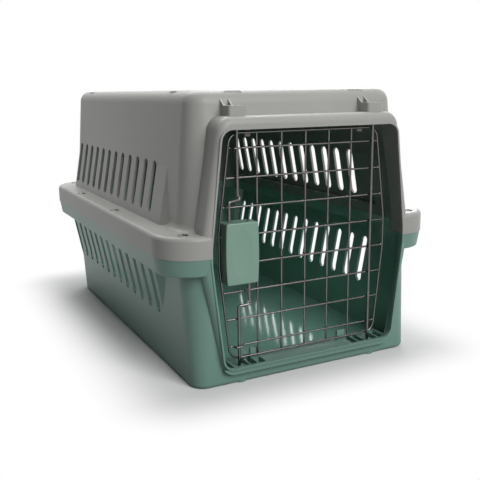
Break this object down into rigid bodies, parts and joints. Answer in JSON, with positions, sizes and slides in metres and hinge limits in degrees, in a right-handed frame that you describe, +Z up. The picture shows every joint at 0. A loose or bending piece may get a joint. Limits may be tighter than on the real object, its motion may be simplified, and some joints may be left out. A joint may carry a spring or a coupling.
{
  "type": "bird travel carrier",
  "caption": "Moulded carrier with vented grey upper and green lower half shells bolted at a flange, a hinged wire door with a sprung squeeze latch, and a fold-flat roof handle.",
  "frame": {"origin": "centre of the outer box on the surface the carrier stands on", "axes": "+X to the right seen from the door, -Y out through the door, +Z up"},
  "size_m": [0.32, 0.48, 0.29],
  "materials": {
    "shell_grey": "moulded, satin with a faint texture",
    "shell_green": "moulded, satin",
    "latch_green": "moulded, satin",
    "plated_wire": "bright plated wire",
    "spring_steel": "plain spring wire",
    "plated_nut": "zinc plated",
    "dark_fastener": "dark moulded cap"
  },
  "bodies": {
    "carrier": {"upper_shell": "shell_grey", "lower_shell": "shell_green", "closure_bolts": "dark_fastener", "closure_nuts": "plated_nut", "handle_tray": "shell_grey", "handle_pins": "plated_nut"},
    "door": {"door_frame_wire": "plated_wire", "door_bar_1": "plated_wire", "door_bar_2": "plated_wire", "door_bar_3": "plated_wire", "door_bar_4": "plated_wire", "door_bar_5": "plated_wire", "door_bar_6": "plated_wire", "door_bar_7": "plated_wire", "door_bar_8": "plated_wire", "door_upright_1": "plated_wire", "door_upright_2": "plated_wire", "door_upright_3": "plated_wire", "door_upright_4": "plated_wire", "door_upright_5": "plated_wire", "hinge_rod": "plated_wire", "latch_cover": "latch_green", "latch_base": "latch_green", "upper_spring": "spring_steel", "lower_spring": "spring_steel"},
    "upper_bolt": {"upper_bolt": "plated_wire"},
    "lower_bolt": {"lower_bolt": "plated_wire"},
    "handle": {"carry_handle": "latch_green"}
  },
  "joints": [
    {"name": "door_hinge", "type": "hinge", "parent": "carrier", "child": "door", "pos_m": [0.08, -0.22585, 0.1355], "axis": [0, 0, 1], "range_deg": [0, 110]},
    {"name": "upper_bolt_slide", "type": "slide", "parent": "door", "child": "upper_bolt", "axis": [0, 0, 1], "range_m": [0, 0.007], "stiffness_N_per_m": 120, "springref_m": 0.02, "deforming": ["upper_spring"]},
    {"name": "lower_bolt_slide", "type": "slide", "parent": "door", "child": "lower_bolt", "axis": [0, 0, -1], "range_m": [0, 0.007], "stiffness_N_per_m": 120, "springref_m": 0.02, "deforming": ["lower_spring"]},
    {"name": "handle_hinge", "type": "hinge", "parent": "carrier", "child": "handle", "pos_m": [0, 0, 0.281], "axis": [0, -1, 0], "range_deg": [0, 90]}
  ]
}
